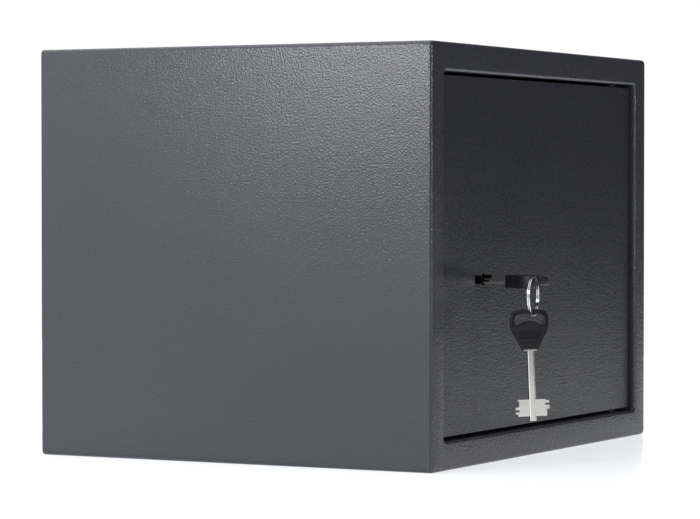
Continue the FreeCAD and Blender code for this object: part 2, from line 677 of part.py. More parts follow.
def lock_nuts():
    start = f"({DRILL_REAR} + case_sheet)"
    nuts = []
    for x, z in STUDS:
        blank = hexagon("NutBlank", "nut_wide", (x, start, z), "nut_thick")
        bore = rod("NutBore", "y", "stud_radius", (x, start, z), "nut_thick")
        nuts.append(cut("LockNut", blank, bore))
    return node("lock_nuts", group("LockNuts", *nuts))


def lever_post():
    post = rod("Post", "y", "post_radius", (POST_X, f"({DRILL_REAR} + case_sheet)", POST_Z),
               "case_deep - case_sheet")
    end = rod("PostEnd", "y", "screw_radius", (POST_X, CASE_REAR, POST_Z), "case_sheet + 0.5")
    return node("lever_post", fuse("LeverPost", post, end))


PILLARS = [(x, z) for x in ("(pillar_inset - cover_left)", "(cover_right - pillar_inset)")
           for z in ("(cover_bottom + pillar_inset)", "(cover_bottom + cover_tall - pillar_inset)")]


def inner_cover():
    """Pressed pan over the bolt work, with holes for the bolts and four screws."""
    body = new_body("InnerCover")
    left, right = "-cover_left", "cover_right"
    low, high = "cover_bottom", "(cover_bottom + cover_tall)"
    outline = sketch(body, "CoverOutline", "XZ_Plane", COVER_REAR)
    rectangle(outline, left, right, low, high)
    pad(body, outline, f"{COVER_REAR} - {PLATE_REAR}")
    round_edges(body, "CoverCorners", "cover_corner", lambda edge: runs_along(edge, 1))
    rear = rough_value(COVER_REAR)
    round_edges(body, "CoverBend", "cover_sheet",
                lambda edge: all(abs(vertex.Y - rear) < NEAR for vertex in edge.Vertexes))
    room = sketch(body, "CoverRoom", "XZ_Plane", PLATE_REAR)
    rectangle(room, f"{left} + cover_sheet", f"{right} - cover_sheet",
              f"{low} + cover_sheet", f"{high} - cover_sheet")
    inside = rough_value(f"{COVER_REAR} - {PLATE_REAR} - cover_sheet")
    pocket(body, room, f"{COVER_REAR} - {PLATE_REAR} - cover_sheet")
    inner_side = rough_value("cover_right - cover_sheet")
    other_side = rough_value("cover_sheet - cover_left")

    def inner_corner(edge):
        place = middle_of(edge)
        beside = min(abs(place.x - inner_side), abs(place.x - other_side)) < NEAR
        return runs_along(edge, 1) and beside and abs(edge.Length - inside) < NEAR

    round_edges(body, "CoverInnerCorners", "cover_corner - cover_sheet", inner_corner)
    bolts = sketch(body, "CoverBoltHoles", "YZ_Plane", "-cover_left - 1")
    for row in BOLT_ROWS:
        circle(bolts, BOLT_Y, row, "bolt_radius + bolt_play")
    pocket(body, bolts, "cover_sheet + 3", reverse=True)
    screws = sketch(body, "CoverScrewHoles", "XZ_Plane", COVER_REAR)
    for x, z in PILLARS:
        circle(screws, x, z, "screw_radius + hole_play")
    pocket(body, screws, "cover_sheet + 3", middle=True)
    return node("inner_cover", body)


def cover_pillars():
    pillars = []
    for x, z in PILLARS:
        post = rod("Pillar", "y", "pillar_radius", (x, PLATE_REAR, z),
                   f"{COVER_REAR} - cover_sheet - {PLATE_REAR}")
        bore = rod("PillarBore", "y", "screw_radius", (x, f"({COVER_REAR} - cover_sheet - screw_long)", z),
                   "screw_long + 1")
        pillars.append(cut("CoverPillar", post, bore))
    return node("cover_pillars", group("CoverPillars", *pillars))


def cover_screws():
    screws = [screw("CoverScrew", COVER_REAR, x, z, "(screw_long + cover_sheet - 1)") for x, z in PILLARS]
    return node("cover_screws", group("CoverScrews", *screws))


# ---- bolt work -------------------------------------------------------------------

def locking_bolts():
    """Two round bolts with a chamfered nose and a riveted end in the bolt bar."""
    bolts = []
    for row in BOLT_ROWS:
        nose = doc.addObject("Part::Cone", "BoltNose")
        nose.Placement = FreeCAD.Placement(V(0, 0, 0), TURNS["x"])
        bind(nose, Radius1="bolt_radius - 1", Radius2="bolt_radius", Height="1")
        bind(nose, Placement__Base__x="-bolt_tip", Placement__Base__y=BOLT_Y, Placement__Base__z=row)
        shaft = rod("BoltShaft", "x", "bolt_radius", ("1 - bolt_tip", BOLT_Y, row), "bolt_long - 1")
        rivet = rod("BoltRivet", "x", "rivet_radius", (BAR_LEFT, BOLT_Y, row), "bar_thick + rivet_proud")
        bolts.append(fuse("LockingBolt", nose, shaft, rivet))
    return node("locking_bolts", group("LockingBolts", *bolts))


def bolt_bar():
    """Angle that carries both bolts, with a drive plate reaching into the lock case."""
    flange = box("BarFlange", (BAR_LEFT, f"{BAR_LEFT} + bar_thick"),
                 (DRIVE_FRONT, f"{DRIVE_FRONT} + bar_deep"),
                 (f"{BOLT_ROWS[0]} - bar_over", f"{BOLT_ROWS[1]} + bar_over"))
    plate = box("DrivePlate", (BAR_LEFT, f"{BAR_LEFT} + plate_long"), (DRIVE_FRONT, DRIVE_REAR),
                (f"{KEY_Z} - plate_tall / 2", f"{KEY_Z} + plate_tall / 2"))
    holes = [rod("RivetHole", "x", "rivet_radius", (f"{BAR_LEFT} - 1", BOLT_Y, row), "bar_thick + 2")
             for row in BOLT_ROWS]
    start = f"({DRIVE_FRONT} - 1)"
    through = "plate_thick + 2"
    holes.append(rod("TalonNear", "y", "sweep", (KEY_X, start, KEY_Z), through))
    holes.append(rod("TalonFar", "y", "sweep", (f"{KEY_X} + bolt_throw", start, KEY_Z), through))
    holes.append(box("TalonMiddle", (KEY_X, f"{KEY_X} + bolt_throw"), (start, f"{start} + {through}"),
                     (f"{KEY_Z} - sweep", f"{KEY_Z} + sweep")))
    holes.append(rod("StumpHole", "y", "stump_radius", (f"{KEY_X} + stump_right", start, KEY_Z), through))
    return node("bolt_bar", cut("BoltBar", fuse("BarAngle", flange, plate), *holes))


def gate_stump():
    stump = rod("Stump", "y", "stump_radius", (f"{KEY_X} + stump_right", DRIVE_FRONT, KEY_Z),
                "plate_thick + lever_pitch * 6")
    return node("gate_stump", stump)


LEVER_COUNT = 5


def lever(number):
    """One lever: a plate with a round key window, a gate for the stump and a pivot hole."""
    front = f"({FACE} + lever_first + lever_pitch * {number})"
    start = f"({front} - 1)"
    through = "lever_thick + 2"
    left = f"({KEY_X} - lever_window - lever_rim)"
    blade = box("LeverBlade", (left, f"{KEY_X} + lever_right"), (front, f"{front} + lever_thick"),
                (f"{KEY_Z} - lever_drop", f"{KEY_Z} + lever_top"))
    window = rod("LeverWindow", "y", "lever_window", (KEY_X, start, KEY_Z), through)
    gate = box("LeverGate", (f"{KEY_X} + gate_left", f"{KEY_X} + gate_right"),
               (start, f"{start} + {through}"),
               (f"{KEY_Z} - gate_tall", f"{KEY_Z} + gate_tall"))
    pivot = rod("LeverPivot", "y", "post_radius + post_fit", (POST_X, start, POST_Z), through)
    return cut("Lever", blade, window, gate, pivot)


def levers():
    return node("levers", group("Levers", *[lever(number) for number in range(LEVER_COUNT)]))


def lever_springs():
    """A flat wire on the top edge of each lever, leaning towards the case's roof."""
    springs = []
    for number in range(LEVER_COUNT):
        front = f"({FACE} + lever_first + lever_pitch * {number} + 0.2)"
        wire = box("SpringWire", ("0", "spring_long"), ("0", "lever_thick - 0.4"), ("0", "spring_thick"))
        wire.Placement = FreeCAD.Placement(V(0, 0, 0), FreeCAD.Rotation(V(0, 1, 0), 188))
        bind(wire, Placement__Base__x=f"{KEY_X} + lever_right - 10", Placement__Base__y=front,
             Placement__Base__z=f"{KEY_Z} + lever_top + spring_thick")
        springs.append(wire)
    return node("lever_springs", group("LeverSprings", *springs))


def key_curtain():
    """Rotating barrel that the key turns in; its flange stops it falling out of the case."""
    start = f"({DRILL_REAR} + 0.2)"
    barrel = rod("Barrel", "y", "barrel_radius", (KEY_X, start, KEY_Z), "barrel_long")
    flange = rod("BarrelFlange", "y", "barrel_flange", (KEY_X, f"{start} + barrel_long", KEY_Z),
                 "flange_thick")
    hole = keyhole_shape("BarrelSlot", KEY_Z, "slot_wide", "slot_tall", "slot_hub", f"({start} - 1)",
                         "(barrel_long + flange_thick + 2)")
    return node("key_curtain", cut("KeyCurtain", fuse("BarrelSolid", barrel, flange), hole))


# ---- keys ------------------------------------------------------------------------
# A key lies along Y with its tip at the origin of its own frame and its bow at -Y.
# X runs across the bits, Z through the thickness.

BIT_NOTCHES = (
    # side, depth from the bit's outer edge, near and far end as shares of the bit's length
    (-1, "1.2", "0.90", "1.02"),
    (-1, "2.0", "0.55", "0.91"),
    (-1, "2.1", "0.26", "0.38"),
    (-1, "1.2", "-0.02", "0.14"),
    (1, "1.9", "0.93", "1.02"),
    (1, "2.3", "0.65", "0.77"),
    (1, "1.4", "-0.02", "0.42"),
)


def key_blade(title):
    body = new_body(title)
    shank = sketch(body, title + "Shank", "XY_Plane", "0")
    rectangle(shank, "-shank_wide / 2", "shank_wide / 2", "bow_long - key_long - tail_long", "0")
    pad(body, shank, "shank_thick", middle=True)
    round_edges(body, title + "ShankEdges", "shank_thick / 3", lambda edge: runs_along(edge, 1))
    shoulder = sketch(body, title + "Shoulder", "XY_Plane", "0")
    rectangle(shoulder, "-shoulder_wide / 2", "shoulder_wide / 2",
              "bow_long - key_long", "bow_long - key_long + shoulder_long")
    pad(body, shoulder, "shank_thick", middle=True)
    bit = sketch(body, title + "Bit", "XY_Plane", "0")
    rectangle(bit, "-bit_wide / 2", "bit_wide / 2", "-tip_long - bit_tall", "-tip_long")
    pad(body, bit, "bit_thick", middle=True)
    for number, (side, depth, near, far) in enumerate(BIT_NOTCHES):
        notch = sketch(body, "%sNotch%d" % (title, number), "XY_Plane", "0")
        inner, outer = f"{side} * (bit_wide / 2 - {depth})", f"{side} * (bit_wide / 2 + 1)"
        left, right = (outer, inner) if side < 0 else (inner, outer)
        rectangle(notch, left, right, f"-tip_long - bit_tall * {far}", f"-tip_long - bit_tall * {near}")
        pocket(body, notch, "bit_thick * 2", middle=True)
    return body


def key_bow(title):
    body = new_body(title)
    collar = "(bow_long - key_long)"
    end = "(-key_long)"
    outline = sketch(body, title + "Outline", "XY_Plane", "0")
    polygon(outline, [
        ("-bow_collar / 2", collar), ("-bow_wide / 2", f"{end} + bow_long * 0.36"),
        ("-bow_wide * 0.40", end), ("bow_wide * 0.40", end),
        ("bow_wide / 2", f"{end} + bow_long * 0.36"), ("bow_collar / 2", collar)])
    pad(body, outline, "bow_thick", middle=True)
    collar_y = rough_value(collar)
    round_edges(body, title + "Corners", "bow_round",
                lambda edge: runs_along(edge, 2) and middle_of(edge).y < collar_y - 1)
    hole = sketch(body, title + "Slot", "XY_Plane", "0")
    outer = f"({end} + hole_margin)"
    polygon(hole, [
        ("-hole_wide * 0.36", outer), ("-hole_wide / 2", f"{outer} + hole_ends * 0.55"),
        ("-hole_wide * 0.41", f"{outer} + hole_ends"), ("-hole_wide * 0.22", f"{outer} + hole_tall"),
        ("hole_wide * 0.22", f"{outer} + hole_tall"), ("hole_wide * 0.41", f"{outer} + hole_ends"),
        ("hole_wide / 2", f"{outer} + hole_ends * 0.55"), ("hole_wide * 0.36", outer)])
    pocket(body, hole, middle=True)
    slopes = sketch(body, title + "Slopes", "YZ_Plane", "0")
    for side in ("1", "-1"):
        thick, rim, clear = f"{side} * bow_thick / 2", f"{side} * bow_rim / 2", f"{side} * bow_thick"
        corners = [
            (f"{end} - 1", rim), (f"{collar} - bow_flat - bow_slope", rim),
            (f"{collar} - bow_flat", thick), (f"{collar} - bow_flat", clear), (f"{end} - 1", clear)]
        polygon(slopes, corners)
    pocket(body, slopes, middle=True)
    for number, side in enumerate(("1", "-1")):
        grip = sketch(body, "%sGrip%d" % (title, number), "XY_Plane", f"{side} * bow_thick / 2")
        rectangle(grip, "-pad_wide / 2", "pad_wide / 2",
                  f"{collar} - pad_back", f"{collar} - pad_back + pad_tall")
        pocket(body, grip, "pad_deep", reverse=(side == "-1"))
    tail = sketch(body, title + "Tail", "XY_Plane", "0")
    rectangle(tail, "-shank_wide / 2", "shank_wide / 2", f"{collar} - tail_long", f"{collar} + 1")
    pocket(body, tail, "shank_thick", middle=True)
    return body


KEY_TIP = (KEY_X, f"{FACE} + key_reach", KEY_Z)
SPARE_TOP = f"({RING_Z} - ring_radius + ring_radial + spare_gap + hole_margin)"
SPARE_TIP = (RING_X, RING_Y, f"{SPARE_TOP} - key_long")
SPARE_TURN = FreeCAD.Rotation(V(0, 0, 1), SIZES["spare_turn"][0] - 90).multiply(
    FreeCAD.Rotation(V(1, 0, 0), -90)).multiply(FreeCAD.Rotation(V(0, 0, 1), -SIZES["spare_lean"][0]))


def place(body, tip, turn=FreeCAD.Rotation()):
    body.Placement = FreeCAD.Placement(V(0, 0, 0), turn)
    bind(body, Placement__Base__x=tip[0], Placement__Base__y=tip[1], Placement__Base__z=tip[2])
    return body


def key_ring():
    """Split ring, as one closed ring of both turns together."""
    body = new_body("KeyRing")
    section = sketch(body, "RingSection", "XZ_Plane", "0")
    rectangle(section, "ring_radius - ring_radial", "ring_radius", "-ring_axial / 2", "ring_axial / 2")
    turn = body.newObject("PartDesign::Revolution", "RingTurn")
    turn.Profile = section
    turn.ReferenceAxis = (section, ["V_Axis"])
    turn.Angle = 360
    round_edges(body, "RingEdges", "ring_radial / 3", lambda edge: True)
    upright = FreeCAD.Rotation(V(0, 0, 1), SIZES["ring_turn"][0]).multiply(FreeCAD.Rotation(V(1, 0, 0), 90))
    return node("key_ring", place(body, (RING_X, RING_Y, RING_Z), upright))


# ---- build -----------------------------------------------------------------------

for build in (body_wrap, back_panel, front_frame, floor_mat, hinge_pins, hinge_washers, door_stops,
              door_plate, keyhole_liner, hinge_lugs, bolt_guide, drill_plate, lock_case, lock_cover,
              lock_cover_screws, lock_studs, lock_nuts, lever_post, inner_cover, cover_pillars,
              cover_screws, locking_bolts, bolt_bar, gate_stump, levers, lever_springs, key_curtain,
              key_ring):
    build()
node("key_blade", place(key_blade("KeyBlade"), KEY_TIP))
node("key_bow", place(key_bow("KeyBow"), KEY_TIP))
node("spare_key_blade", place(key_blade("SpareKeyBlade"), SPARE_TIP, SPARE_TURN))
node("spare_key_bow", place(key_bow("SpareKeyBow"), SPARE_TIP, SPARE_TURN))

doc.recompute()
for item in doc.Objects:
    if "Invalid" in item.State or "Error" in item.State:
        raise RuntimeError("%s did not build: %s" % (item.Name, item.State))
for item in NODES:
    if item.Shape.isNull() or not item.Shape.isValid():
        raise RuntimeError("%s has no valid shape" % item.Label)

os.makedirs("parts", exist_ok=True)
for item in NODES:
    item.Shape.exportStep("parts/%s.step" % item.Label)
    limits = item.Shape.BoundBox
    print("%-18s %2d solids %9.1f mm3  X %.1f..%.1f  Y %.1f..%.1f  Z %.1f..%.1f" % (
        item.Label, len(item.Shape.Solids), item.Shape.Volume,
        limits.XMin, limits.XMax, limits.YMin, limits.YMax, limits.ZMin, limits.ZMax))
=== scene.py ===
import math

import bmesh
import bpy
from mathutils import Matrix, Vector


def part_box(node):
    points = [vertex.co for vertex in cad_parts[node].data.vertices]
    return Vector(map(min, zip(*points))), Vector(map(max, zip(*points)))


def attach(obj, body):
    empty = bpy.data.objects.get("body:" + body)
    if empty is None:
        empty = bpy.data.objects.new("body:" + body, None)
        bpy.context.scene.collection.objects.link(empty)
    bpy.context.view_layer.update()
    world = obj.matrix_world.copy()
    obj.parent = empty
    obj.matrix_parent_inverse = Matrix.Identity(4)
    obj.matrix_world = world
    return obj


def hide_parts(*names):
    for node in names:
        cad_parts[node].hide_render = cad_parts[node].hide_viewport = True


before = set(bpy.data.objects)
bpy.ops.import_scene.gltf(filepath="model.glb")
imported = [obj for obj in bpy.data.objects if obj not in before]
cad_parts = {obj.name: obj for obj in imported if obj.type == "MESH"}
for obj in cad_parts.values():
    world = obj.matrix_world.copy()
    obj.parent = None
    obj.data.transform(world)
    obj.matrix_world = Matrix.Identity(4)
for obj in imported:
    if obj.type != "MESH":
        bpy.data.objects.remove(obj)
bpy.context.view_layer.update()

MM = 0.001
WHOLE_TURN = 2 * math.pi


# ---- places read from the frame --------------------------------------------------

wrap_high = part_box("body_wrap")[1]
border_low, border_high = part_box("front_frame")
blade_low, blade_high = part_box("key_blade")
ring_low, ring_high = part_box("key_ring")
mat_low, mat_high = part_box("floor_mat")
spare_tip_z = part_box("spare_key_blade")[0].z

KEY_X = (blade_low.x + blade_high.x) / 2
KEY_Z = (blade_low.z + blade_high.z) / 2
RING_MIDDLE = (ring_low + ring_high) / 2
RING_TURN = math.radians(10)
SPARE_TURN = math.radians(-62)
SPARE_LEAN = math.radians(-2.2)

# Sizes below are in mm.
KEY_LONG = 61.5
RIM_WIDE = 16
SHEET = 2
LIP_BEND = 1.9
EDGE_BEND = 1.6
OUTER_CORNER = 3
OPENING_CORNER = 2.5
LIP_BREAK = 0.3
ANCHOR_RADIUS = 5
ANCHOR_SIDE = 90
MAT_HOLE_RADIUS = 7


# ---- mesh helpers ----------------------------------------------------------------

def link_mesh(name, vertices, faces, smooth=35):
    """A new piece from points in metres; smooth is its crease angle in degrees."""
    mesh = bpy.data.meshes.new(name)
    mesh.from_pydata([tuple(v) for v in vertices], [], faces)
    mesh.update()
    piece = bpy.data.objects.new(name, mesh)
    bpy.context.scene.collection.objects.link(piece)
    tidy_mesh(piece)
    smooth_by_angle(piece, smooth)
    return piece


def tidy_mesh(piece):
    """Weld doubled points and turn all faces outwards."""
    work = bmesh.new()
    work.from_mesh(piece.data)
    bmesh.ops.remove_doubles(work, verts=work.verts, dist=1e-6)
    bmesh.ops.recalc_face_normals(work, faces=work.faces)
    work.to_mesh(piece.data)
    work.free()


def smooth_by_angle(piece, degrees):
    """Smooth shading, with creases where faces meet more sharply than this."""
    mesh = piece.data
    limit = math.radians(degrees)
    work = bmesh.new()
    work.from_mesh(mesh)
    for face in work.faces:
        face.smooth = True
    for edge in work.edges:
        edge.smooth = len(edge.link_faces) == 2 and edge.calc_face_angle(0) < limit
    work.to_mesh(mesh)
    work.free()


def apply_modifiers(piece):
    """Replace the mesh by its modified one and drop the modifiers."""
    bpy.context.view_layer.update()
    graph = bpy.context.evaluated_depsgraph_get()
    mesh = bpy.data.meshes.new_from_object(piece.evaluated_get(graph))
    piece.modifiers.clear()
    piece.data = mesh


def cut_out(piece, *tools):
    """Boolean difference, applied at once."""
    for tool in tools:
        cutter = piece.modifiers.new("cut", "BOOLEAN")
        cutter.object = tool
        cutter.solver = "EXACT"
    apply_modifiers(piece)
    for tool in tools:
        bpy.data.objects.remove(tool)


def join(name, pieces):
    """One piece from several, in the order given."""
    work = bmesh.new()
    for piece in pieces:
        shape = piece.data.copy()
        shape.transform(piece.matrix_world)
        work.from_mesh(shape)
    mesh = bpy.data.meshes.new(name)
    work.to_mesh(mesh)
    work.free()
    for piece in pieces:
        bpy.data.objects.remove(piece)
    whole = bpy.data.objects.new(name, mesh)
    bpy.context.scene.collection.objects.link(whole)
    return whole


def rounded_rectangle(half_wide, half_tall, radius, steps=5):
    """Corners of a rounded rectangle about the origin, anticlockwise."""
    points = []
    centres = ((1, 1), (-1, 1), (-1, -1), (1, -1))
    for corner, (side, up) in enumerate(centres):
        for step in range(steps + 1):
            angle = (corner + step / steps) * math.pi / 2
            points.append((side * (half_wide - radius) + radius * math.cos(angle),
                           up * (half_tall - radius) + radius * math.sin(angle)))
    return points


def bridge(loops, closed=False, caps=False):
    """Points and faces of a skin over loops of equal length."""
    count = len(loops[0])
    points = [point for loop in loops for point in loop]
    faces = []
    last = len(loops) if closed else len(loops) - 1
    for row in range(last):
        here, there = row * count, (row + 1) % len(loops) * count
        for side in range(count):
            following = (side + 1) % count
            faces.append((here + side, here + following,
                          there + following, there + side))
    if caps:
        faces.append(tuple(range(count)))
        faces.append(tuple(range((len(loops) - 1) * count, len(loops) * count)))
    return points, faces


def prism(name, outline, low, high, axes="xzy", middle=(0, 0)):
    """A straight bar with a given outline; axes names its across, its up and its length."""
    loops = []
    for level in (low, high):
        loop = []
        for across, up in outline:
            values = dict(zip(axes, (across + middle[0], up + middle[1], level)))
            loop.append((values["x"] * MM, values["y"] * MM, values["z"] * MM))
        loops.append(loop)
    points, faces = bridge(loops, caps=True)
    return link_mesh(name, points, faces)


def circle_outline(radius, steps=32):
    """Corners of a many-sided circle about the origin."""
    angles = [WHOLE_TURN * step / steps for step in range(steps)]
    return [(radius * math.cos(angle), radius * math.sin(angle)) for angle in angles]


def soften(piece, width, segments=2):
    """Break a piece's sharp edges with a small bevel."""
    bevel = piece.modifiers.new("broken_edges", "BEVEL")
    bevel.width = width * MM
    bevel.segments = segments
    bevel.limit_method = "ANGLE"
    bevel.angle_limit = math.radians(40)
    bevel.harden_normals = True
    return piece


def smooth_line(points, steps=8):
    """A closed smooth line through points (a Catmull-Rom spline)."""
    line = []
    count = len(points)
    for index in range(count):
        before, start, end, after = (Vector(points[(index + shift) % count])
                                     for shift in (-1, 0, 1, 2))
        for step in range(steps):
            t = step / steps
            line.append(0.5 * (2 * start + (end - before) * t
                               + (2 * before - 5 * start + 4 * end - after) * t * t
                               + (3 * start - before - 3 * end + after) * t * t * t))
    return line


# ---- materials -------------------------------------------------------------------

def new_material(name):
    """A node material, with its nodes, its links and its shader."""
    material = bpy.data.materials.new(name)
    material.use_nodes = True
    nodes = material.node_tree.nodes
    return material, nodes, material.node_tree.links, nodes["Principled BSDF"]


def texture(nodes, links, kind, **settings):
    """A texture node in object coordinates; settings name its inputs."""
    node = nodes.new(kind)
    place = nodes.new("ShaderNodeTexCoord")
    links.new(place.outputs["Object"], node.inputs["Vector"])
    for name, value in settings.items():
        node.inputs[name.replace("_", " ")].default_value = value
    return node


def ramp(nodes, links, source, stops):
    """A colour ramp over a value; stops are (place, colour)."""
    node = nodes.new("ShaderNodeValToRGB")
    elements = node.color_ramp.elements
    while len(elements) < len(stops):
        elements.new(0.5)
    for element, (place, colour) in zip(elements, stops):
        element.position = place
        element.color = (*colour, 1)
    links.new(source, node.inputs["Fac"])
    return node


def add_bump(nodes, links, shader, height, strength, distance, before=None):
    """A bump, on top of an earlier one where there is one."""
    node = nodes.new("ShaderNodeBump")
    node.inputs["Strength"].default_value = strength
    node.inputs["Distance"].default_value = distance
    links.new(height, node.inputs["Height"])
    if before is not None:
        links.new(before.outputs["Normal"], node.inputs["Normal"])
    links.new(node.outputs["Normal"], shader.inputs["Normal"])
    return node


def vary_roughness(nodes, links, shader, source, middle, spread):
    """Roughness that varies with a texture about a middle value."""
    gloss = nodes.new("ShaderNodeMapRange")
    gloss.inputs["To Min"].default_value = max(middle - spread, 0.02)
    gloss.inputs["To Max"].default_value = middle + spread
    links.new(source, gloss.inputs["Value"])
    links.new(gloss.outputs["Result"], shader.inputs["Roughness"])


def powder_coat(name, dark, light, roughness, grain, shine):
    """Semi-gloss powder coat: pebbled grain about 1 mm across, with a finer one."""
    material, nodes, links, shader = new_material(name)
    pebbles = texture(nodes, links, "ShaderNodeTexNoise", Scale=940.0, Detail=1.5, Roughness=0.5)
    fine = texture(nodes, links, "ShaderNodeTexNoise", Scale=1900.0, Detail=2.0)
    patches = texture(nodes, links, "ShaderNodeTexNoise", Scale=7.0, Detail=3.0)
    tint = ramp(nodes, links, patches.outputs["Fac"], ((0.35, dark), (0.65, light)))
    links.new(tint.outputs["Color"], shader.inputs["Base Color"])
    shader.inputs["Specular IOR Level"].default_value = shine
    first = add_bump(nodes, links, shader, fine.outputs["Fac"], 0.25, 0.0001)
    add_bump(nodes, links, shader, pebbles.outputs["Fac"], grain, 0.001, first)
    vary_roughness(nodes, links, shader, fine.outputs["Fac"], roughness, 0.05)
    return material


def metal(name, dark, light, roughness, brush_scale=(1, 1, 1), brush=0.0):
    """Plated or brushed metal; its streaks run along the axis of the smallest scale."""
    material, nodes, links, shader = new_material(name)
    place = nodes.new("ShaderNodeTexCoord")
    stretch = nodes.new("ShaderNodeMapping")
    stretch.inputs["Scale"].default_value = brush_scale
    links.new(place.outputs["Object"], stretch.inputs["Vector"])
    streaks = nodes.new("ShaderNodeTexNoise")
    streaks.inputs["Scale"].default_value = 900.0
    streaks.inputs["Detail"].default_value = 3.0
    links.new(stretch.outputs["Vector"], streaks.inputs["Vector"])
    stains = texture(nodes, links, "ShaderNodeTexNoise", Scale=60.0, Detail=4.0)
    tint = ramp(nodes, links, stains.outputs["Fac"], ((0.3, dark), (0.7, light)))
    links.new(tint.outputs["Color"], shader.inputs["Base Color"])
    shader.inputs["Metallic"].default_value = 1.0
    vary_roughness(nodes, links, shader, streaks.outputs["Fac"], roughness, 0.07)
    if brush:
        add_bump(nodes, links, shader, streaks.outputs["Fac"], brush, 0.00002)
    return material


def plastic(name, dark, light, roughness, grain, shine):
    """Moulded plastic with a fine spark-eroded grain."""
    material, nodes, links, shader = new_material(name)
    sparkle = texture(nodes, links, "ShaderNodeTexNoise", Scale=2600.0, Detail=2.0)
    clouds = texture(nodes, links, "ShaderNodeTexNoise", Scale=90.0, Detail=2.0)
    tint = ramp(nodes, links, clouds.outputs["Fac"], ((0.35, dark), (0.65, light)))
    links.new(tint.outputs["Color"], shader.inputs["Base Color"])
    shader.inputs["Specular IOR Level"].default_value = shine
    vary_roughness(nodes, links, shader, sparkle.outputs["Fac"], roughness, 0.06)
    add_bump(nodes, links, shader, sparkle.outputs["Fac"], grain, 0.00003)
    return material


def needle_felt(name):
    """Dark needle felt: matted fibres, a soft sheen and no shine."""
    material, nodes, links, shader = new_material(name)
    fibres = texture(nodes, links, "ShaderNodeTexNoise", Scale=1400.0, Detail=6.0, Roughness=0.75,
                     Distortion=1.2)
    clumps = texture(nodes, links, "ShaderNodeTexVoronoi", Scale=420.0)
    tint = ramp(nodes, links, fibres.outputs["Fac"],
                ((0.35, (0.010, 0.010, 0.011)), (0.6, (0.035, 0.035, 0.038))))
    links.new(tint.outputs["Color"], shader.inputs["Base Color"])
    shader.inputs["Roughness"].default_value = 0.95
    shader.inputs["Sheen Weight"].default_value = 0.35
    shader.inputs["Sheen Roughness"].default_value = 0.6
    first = add_bump(nodes, links, shader, clumps.outputs["Distance"], 0.3, 0.0006)
    add_bump(nodes, links, shader, fibres.outputs["Fac"], 0.8, 0.0005, first)
    return material


# The colours, dark and light, are followed by each function's own roughness, grain and so on.
PAINT = powder_coat("graphite_coat", (0.024, 0.025, 0.031), (0.029, 0.030, 0.037),
                    0.26, 0.29, 0.45)
DOOR_PAINT = powder_coat("graphite_door_coat", (0.0155, 0.0165, 0.020), (0.019, 0.020, 0.024),
                         0.27, 0.29, 0.37)
NICKEL = metal("nickel", (0.60, 0.59, 0.54), (0.68, 0.67, 0.62), 0.18, (1, 1, 1), 0.12)
RING_STEEL = metal("ring_steel", (0.62, 0.62, 0.61), (0.72, 0.72, 0.71), 0.12, (1, 1, 1), 0.08)
STEEL = metal("turned_steel", (0.52, 0.52, 0.53), (0.66, 0.66, 0.67), 0.26, (12, 0.4, 0.4), 0.35)
ZINC = metal("zinc_plate", (0.42, 0.43, 0.45), (0.60, 0.61, 0.63), 0.36, (1, 1, 1), 0.25)
BRASS = metal("stamped_brass", (0.55, 0.39, 0.16), (0.70, 0.52, 0.25), 0.34, (0.3, 6, 6), 0.3)
BLACK = plastic("black_moulding", (0.008, 0.008, 0.009), (0.013, 0.013, 0.015), 0.34, 0.15, 0.27)
# The liner's near-black is painted shade: it darkens the inside of the keyhole.
KEYHOLE_SHADE_LINER = plastic("liner_painted_shade", (0.002, 0.002, 0.002), (0.004, 0.004, 0.004), 0.5, 0.2, 0.2)
# Near-black, partly dark hardware and partly painted shade: hinge parts seen through the door gap,
# and the drill plate and curtain behind the keyhole, are made as dark as the shade there.
OXIDE_AND_SHADE_BLACK = plastic("black_oxide_and_painted_shade", (0.004, 0.004, 0.005), (0.008, 0.008, 0.009), 0.45, 0.3, 0.25)
FELT = needle_felt("needle_felt")


def finish_node(node, material, bevel=0):
    """Give a CAD node one material, and a small bevel on its sharp edges."""
    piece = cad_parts[node]
    piece.data.materials.clear()
    piece.data.materials.append(material)
    for face in piece.data.polygons:
        face.material_index = 0
    if bevel:
        soften(piece, bevel)


# Material, width of the bevel in mm, and nodes. The drill plate, the curtain and the liner get
# near-black colour as painted shade, so that the keyhole is dark inside; the hinge parts get it as
# painted shade in the door gap.
NODE_FINISHES = (
    (PAINT, 0.25, ("back_panel", "door_stops")),
    (DOOR_PAINT, 0.45, ("door_plate", "bolt_guide")),
    (DOOR_PAINT, 0, ("inner_cover",)),
    (OXIDE_AND_SHADE_BLACK, 0.2, ("hinge_lugs", "hinge_washers", "hinge_pins", "lever_springs")),
    (STEEL, 0.2, ("locking_bolts", "lock_studs", "gate_stump", "lever_post")),
    (ZINC, 0.2, ("bolt_bar", "lock_case", "lock_cover", "lock_cover_screws", "lock_nuts",
                 "cover_pillars", "cover_screws")),
    (OXIDE_AND_SHADE_BLACK, 0.1, ("drill_plate", "key_curtain")),
    (BRASS, 0.1, ("levers",)),
    (KEYHOLE_SHADE_LINER, 0.15, ("keyhole_liner",)),
    (NICKEL, 0.12, ("key_blade", "spare_key_blade")),
)
for material, bevel, nodes in NODE_FINISHES:
    for name in nodes:
        finish_node(name, material, bevel)


def put_on(piece, body, slot, material, *nodes):
    """Finish a new piece, hang it on its body and let it stand for its CAD nodes."""
    piece.data.materials.clear()
    piece.data.materials.append(material)
    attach(piece, body)
    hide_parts(*nodes)


# ---- cabinet ---------------------------------------------------------------------

